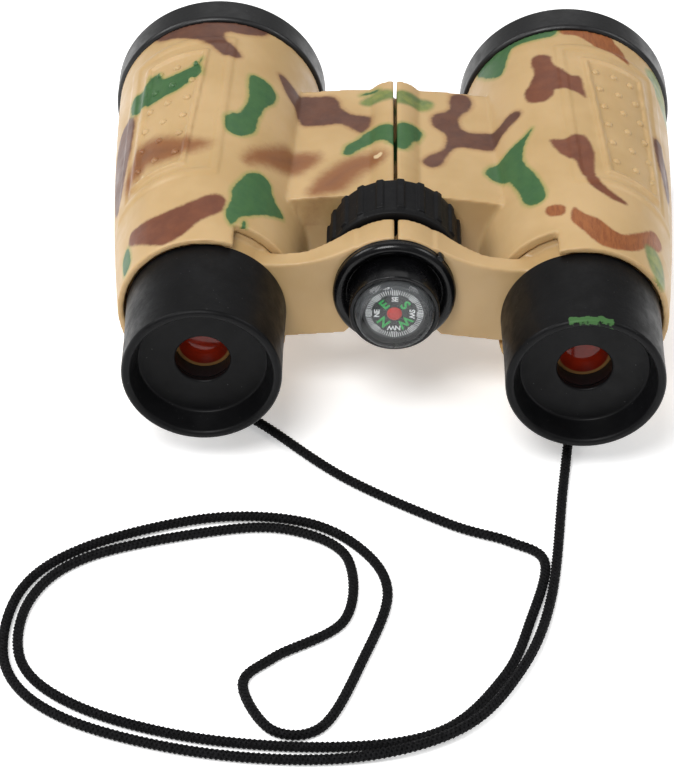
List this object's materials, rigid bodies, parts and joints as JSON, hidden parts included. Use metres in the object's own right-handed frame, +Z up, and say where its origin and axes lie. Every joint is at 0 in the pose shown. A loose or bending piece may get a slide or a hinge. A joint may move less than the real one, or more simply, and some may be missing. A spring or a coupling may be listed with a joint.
{
  "type": "folding toy binoculars",
  "caption": "Small folding toy binoculars in camouflage plastic, with a ribbed focus wheel, a compass on the hinge and a black neck cord.",
  "frame": {"origin": "on the table under the middle of the instrument, without its cord: halfway between the barrels and halfway between the eyecup rims and the objective rings", "axes": "+X to the user's right, +Y towards what is looked at (the objectives), +Z up; the barrels lie along Y"},
  "size_m": [0.1279, 0.1807, 0.0436],
  "materials": {
    "camouflage_shell": "moulded tan plastic with sprayed brown and green camouflage patches, satin",
    "tan_arm": "moulded tan plastic, satin",
    "black_plastic": "moulded black plastic, satin",
    "black_eyecup": "smooth black plastic with a soft sheen",
    "black_wheel": "ribbed black plastic, matte",
    "compass_black": "glossy black plastic",
    "coated_objective": "moulded lens with an amber-red coating",
    "red_eye_glass": "small lens with an orange-red tint",
    "bright_steel": "plain bright steel",
    "clear_plastic": "clear polished plastic",
    "capsule_base": "dark grey plastic disc",
    "brass_pivot": "turned brass",
    "compass_card_print": "dark grey printed card with green and white compass points and a red centre",
    "cord_braid": "round braided black cord"
  },
  "bodies": {
    "left_half": {"left_barrel": "camouflage_shell", "left_objective_ring": "black_plastic", "left_objective_lens": "coated_objective", "left_lens_retainer": "black_plastic", "left_light_baffle": "black_plastic", "hinge_pin": "bright_steel", "pin_cap": "black_plastic", "pin_clip": "bright_steel", "wheel_spacer": "black_plastic", "neck_cord": "cord_braid", "left_cord_knot": "cord_braid"},
    "right_half": {"right_barrel": "camouflage_shell", "right_objective_ring": "black_plastic", "right_objective_lens": "coated_objective", "right_lens_retainer": "black_plastic", "right_light_baffle": "black_plastic", "neck_cord_end": "cord_braid", "right_cord_knot": "cord_braid"},
    "left_eyepiece": {"left_eyepiece_arm": "tan_arm", "left_eyecup": "black_eyecup", "left_lens_holder": "black_plastic", "left_eye_lens": "red_eye_glass", "focus_nut": "black_plastic", "compass_housing": "compass_black", "compass_capsule": "clear_plastic", "compass_base": "capsule_base", "compass_pivot": "brass_pivot"},
    "right_eyepiece": {"right_eyepiece_arm": "tan_arm", "right_eyecup": "black_eyecup", "right_lens_holder": "black_plastic", "right_eye_lens": "red_eye_glass"},
    "focus_wheel": {"focus_wheel": "black_wheel"},
    "compass_card": {"compass_card": "compass_card_print", "compass_magnet": "bright_steel"}
  },
  "joints": [
    {"name": "fold", "type": "hinge", "parent": "left_half", "child": "right_half", "pos_m": [0, 0, 0.0273], "axis": [0, 1, 0], "range_deg": [0, 60]},
    {"name": "focus_turn", "type": "hinge", "parent": "left_half", "child": "focus_wheel", "pos_m": [0, 0, 0.0273], "axis": [0, 1, 0], "range_deg": [0, 288]},
    {"name": "left_focus", "type": "slide", "parent": "left_half", "child": "left_eyepiece", "axis": [0, -1, 0], "range_m": [0, 0.004]},
    {"name": "right_focus", "type": "slide", "parent": "right_half", "child": "right_eyepiece", "axis": [0, -1, 0], "range_m": [0, 0.004]},
    {"name": "card_turn", "type": "hinge", "parent": "left_eyepiece", "child": "compass_card", "pos_m": [0, 0, 0.0273], "axis": [0, 1, 0], "continuous": true}
  ],
  "couplings": [
    {"joint": "focus_turn", "follows": "left_focus", "rad_per_m": 1256.6},
    {"joint": "right_focus", "follows": "left_focus", "ratio": 1}
  ]
}
